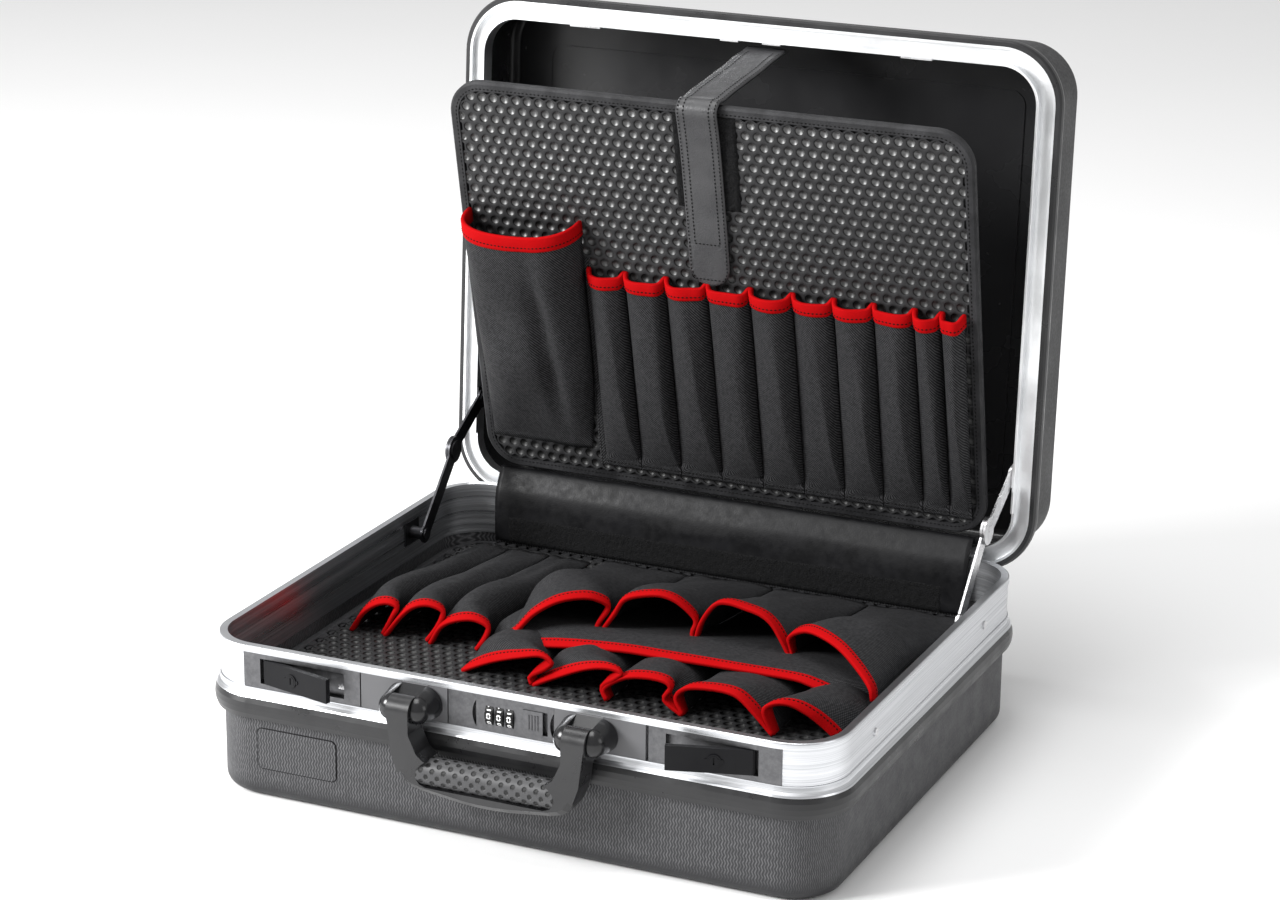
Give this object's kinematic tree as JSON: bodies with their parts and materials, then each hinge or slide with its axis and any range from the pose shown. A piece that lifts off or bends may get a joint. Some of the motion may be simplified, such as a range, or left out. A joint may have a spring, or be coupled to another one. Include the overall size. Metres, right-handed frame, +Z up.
{
  "type": "tool case",
  "caption": "Open hard tool case with hinged lid, aluminium frames, two latches, number lock, carry handle, lid stays and two tool boards with fabric pockets.",
  "frame": {"origin": "centre of the underside of the base tub, on the surface it stands on", "axes": "+Z up, -Y towards the front with the latches and handle, +X along the width to the right"},
  "size_m": [0.4802, 0.5142, 0.4975],
  "materials": {
    "shell_plastic": "fine wavy grain",
    "collar_plastic": "smooth satin",
    "edge_metal": "thin bright line",
    "frame_metal": "brushed along its length",
    "plate_metal": "satin grey",
    "lever_plastic": "satin dark grey",
    "bright_steel": "satin",
    "handle_plastic": "satin black",
    "grip_rubber": "dimpled",
    "vinyl": "soft grained vinyl",
    "hook_loop": "hook and loop pile",
    "board_sheet": "hexagon dimples",
    "binding_tape": "stitched tape",
    "pocket_cloth": "black twill with red hems"
  },
  "bodies": {
    "base": {"base_shell": "shell_plastic", "base_collar": "collar_plastic", "base_edge_strip": "edge_metal", "base_frame": "frame_metal", "latch_housing_l": "plate_metal", "latch_housing_r": "plate_metal", "lock_plate": "plate_metal", "dial_axle": "bright_steel", "handle_bracket_l": "plate_metal", "handle_bracket_r": "plate_metal", "handle_pin_l": "bright_steel", "handle_pin_r": "bright_steel", "band_rivets": "frame_metal", "hinge_base_l": "bright_steel", "hinge_base_r": "bright_steel", "hinge_pin_l": "bright_steel", "hinge_pin_r": "bright_steel", "stay_bracket_base_l": "bright_steel", "stay_bracket_base_r": "bright_steel", "hinge_flap_base": "vinyl", "flap_velcro": "hook_loop", "lower_board": "board_sheet", "lower_binding": "binding_tape", "long_pockets": "pocket_cloth", "front_pockets": "pocket_cloth", "band_pocket": "pocket_cloth", "back_pockets": "pocket_cloth"},
    "lid": {"lid_shell": "shell_plastic", "lid_collar": "collar_plastic", "lid_edge_strip": "edge_metal", "lid_frame": "frame_metal", "lid_clips": "frame_metal", "hinge_lid_l": "bright_steel", "hinge_lid_r": "bright_steel", "stay_bracket_lid_l": "bright_steel", "stay_bracket_lid_r": "bright_steel", "hinge_flap_lid": "vinyl", "strap_anchor": "vinyl"},
    "board": {"upper_board": "board_sheet", "upper_binding": "binding_tape", "pouch": "pocket_cloth", "upper_pockets": "pocket_cloth", "velcro_pad": "hook_loop", "strap_front": "vinyl"},
    "lever_l": {"latch_lever_l": "lever_plastic"},
    "lever_r": {"latch_lever_r": "lever_plastic"},
    "key_l": {"key_cylinder_l": "bright_steel"},
    "key_r": {"key_cylinder_r": "bright_steel"},
    "bolt_l": {"latch_bolt_l": "bright_steel"},
    "bolt_r": {"latch_bolt_r": "bright_steel"},
    "carry_handle": {"handle": "handle_plastic", "handle_grip": "grip_rubber"},
    "slider": {"lock_slider": "lever_plastic"},
    "dial_left": {"dial_1": "bright_steel"},
    "dial_mid": {"dial_2": "bright_steel"},
    "dial_right": {"dial_3": "bright_steel"},
    "low_link_l": {"stay_lower_l": "bright_steel"},
    "low_link_r": {"stay_lower_r": "bright_steel"},
    "up_link_l": {"stay_upper_l": "bright_steel"},
    "up_link_r": {"stay_upper_r": "bright_steel"}
  },
  "joints": [
    {"name": "lid_hinge", "type": "hinge", "parent": "base", "child": "lid", "pos_m": [0, 0.1935, 0.1068], "axis": [1, 0, 0], "range_deg": [0, 93.2]},
    {"name": "board_tilt", "type": "hinge", "parent": "lid", "child": "board", "pos_m": [0, 0.195, 0.1314], "axis": [1, 0, 0], "range_deg": [-25.4, 0]},
    {"name": "handle_swing", "type": "hinge", "parent": "base", "child": "carry_handle", "pos_m": [0, -0.212, 0.0968], "axis": [-1, 0, 0], "range_deg": [0, 100]},
    {"name": "lock_slide", "type": "slide", "parent": "base", "child": "slider", "axis": [1, 0, 0], "range_m": [0, 0.003], "stiffness_N_per_m": 300},
    {"name": "dial_left_turn", "type": "hinge", "parent": "base", "child": "dial_left", "pos_m": [-0.0089, -0.1873, 0.09605], "axis": [1, 0, 0], "continuous": true},
    {"name": "dial_mid_turn", "type": "hinge", "parent": "base", "child": "dial_mid", "pos_m": [-0.0013, -0.1873, 0.09605], "axis": [1, 0, 0], "continuous": true},
    {"name": "dial_right_turn", "type": "hinge", "parent": "base", "child": "dial_right", "pos_m": [0.0063, -0.1873, 0.09605], "axis": [1, 0, 0], "continuous": true},
    {"name": "lever_l_swing", "type": "hinge", "parent": "base", "child": "lever_l", "pos_m": [-0.182, -0.1926, 0.0972], "axis": [0, 0, -1], "range_deg": [-13.3, 40]},
    {"name": "key_l_turn", "type": "hinge", "parent": "lever_l", "child": "key_l", "pos_m": [-0.15794, -0.20168, 0.0972], "axis": [-0.23, -0.9732, 0], "range_deg": [0, 90]},
    {"name": "bolt_l_slide", "type": "slide", "parent": "base", "child": "bolt_l", "axis": [1, 0, 0], "range_m": [-0.0013, 0.003]},
    {"name": "low_link_l_turn", "type": "hinge", "parent": "base", "child": "low_link_l", "pos_m": [-0.2178, 0.1065, 0.0969], "axis": [1, 0, 0], "range_deg": [0, 87]},
    {"name": "up_link_l_turn", "type": "hinge", "parent": "lid", "child": "up_link_l", "pos_m": [-0.2198, 0.208, 0.1784], "axis": [1, 0, 0], "range_deg": [-152, 0]},
    {"name": "lever_r_swing", "type": "hinge", "parent": "base", "child": "lever_r", "pos_m": [0.182, -0.1926, 0.0972], "axis": [0, 0, 1], "range_deg": [-16.8, 40]},
    {"name": "key_r_turn", "type": "hinge", "parent": "lever_r", "child": "key_r", "pos_m": [0.15854, -0.20313, 0.0972], "axis": [0.289, -0.9573, 0], "range_deg": [0, 90]},
    {"name": "bolt_r_slide", "type": "slide", "parent": "base", "child": "bolt_r", "axis": [-1, 0, 0], "range_m": [-0.0013, 0.003]},
    {"name": "low_link_r_turn", "type": "hinge", "parent": "base", "child": "low_link_r", "pos_m": [0.2178, 0.1065, 0.0969], "axis": [1, 0, 0], "range_deg": [0, 87]},
    {"name": "up_link_r_turn", "type": "hinge", "parent": "lid", "child": "up_link_r", "pos_m": [0.2198, 0.208, 0.1784], "axis": [1, 0, 0], "range_deg": [-152, 0]}
  ],
  "couplings": [
    {"joint": "board_tilt", "follows": "lid_hinge", "ratio": -0.27},
    {"joint": "bolt_l_slide", "follows": "lever_l_swing", "m_per_rad": 0.004},
    {"joint": "low_link_l_turn", "follows": "lid_hinge", "ratio": 0.92},
    {"joint": "up_link_l_turn", "follows": "lid_hinge", "ratio": -1.61},
    {"joint": "bolt_r_slide", "follows": "lever_r_swing", "m_per_rad": 0.004},
    {"joint": "low_link_r_turn", "follows": "lid_hinge", "ratio": 0.92},
    {"joint": "up_link_r_turn", "follows": "lid_hinge", "ratio": -1.61}
  ]
}
